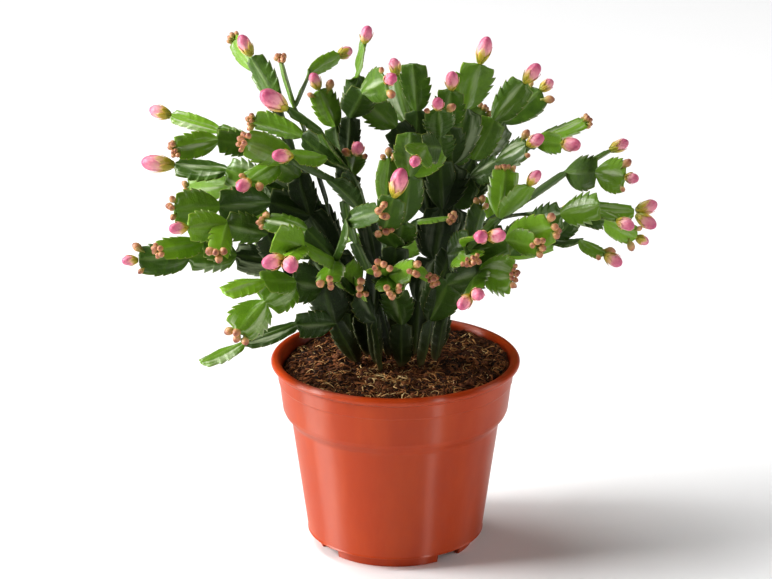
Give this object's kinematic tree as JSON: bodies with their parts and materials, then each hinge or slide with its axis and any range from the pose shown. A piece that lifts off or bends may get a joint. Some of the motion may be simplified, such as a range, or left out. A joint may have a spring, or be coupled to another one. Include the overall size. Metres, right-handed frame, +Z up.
{
  "type": "potted christmas cactus",
  "caption": "Christmas cactus in bud, with arching chains of flat toothed stem segments, in a round plastic nursery pot filled with soil.",
  "frame": {"origin": "on the surface the pot stands on, under the pot's axis, which is also the middle of the whole plant's outline seen from above", "axes": "+Z up along the pot's axis, -Y towards the viewer (the plant's front), +X to the viewer's right"},
  "size_m": [0.2783, 0.1837, 0.283],
  "materials": {
    "pot": "satin moulded plastic",
    "soil": "loose fibrous potting soil",
    "stem": "waxy succulent skin",
    "bud": "closed petals"
  },
  "bodies": {
    "root": {"pot": "pot", "soil": "soil", "stem_front": "stem", "bud_front_h": "bud", "bud_front_j": "bud", "stem_front_left": "stem", "bud_front_left_c": "bud", "stem_front_right": "stem", "bud_front_right_a": "bud", "bud_front_right_c": "bud", "bud_front_right_i": "bud", "stem_low_left": "stem", "stem_crown": "stem", "bud_crown_a": "bud", "bud_crown_b": "bud", "bud_crown_d": "bud", "bud_crown_g": "bud", "stem_upright": "stem", "bud_upright_b": "bud", "bud_upright_c": "bud", "bud_upright_d": "bud", "bud_upright_e": "bud", "stem_top_left": "stem", "bud_top_left_a": "bud", "bud_top_left_c": "bud", "stem_right": "stem", "bud_right_b": "bud", "bud_right_c": "bud", "bud_right_e": "bud", "stem_upper_right": "stem", "bud_upper_right_a": "bud", "bud_upper_right_b": "bud", "bud_upper_right_c": "bud", "bud_upper_right_e": "bud", "stem_left": "stem", "bud_left_a": "bud", "bud_left_c": "bud", "stem_upper_left": "stem", "bud_upper_left_a": "bud", "bud_upper_left_d": "bud", "bud_upper_left_f": "bud", "stem_far_left": "stem", "bud_far_left_a": "bud", "bud_far_left_d": "bud", "stem_far_right": "stem", "bud_far_right_a": "bud", "bud_far_right_b": "bud", "bud_far_right_c": "bud", "stem_back_left": "stem", "bud_back_left_a": "bud", "bud_back_left_c": "bud", "stem_back": "stem", "bud_back_a": "bud", "bud_back_c": "bud", "stem_back_right": "stem", "bud_back_right_a": "bud", "bud_back_right_c": "bud", "bud_back_right_d": "bud"}
  },
  "joints": []
}
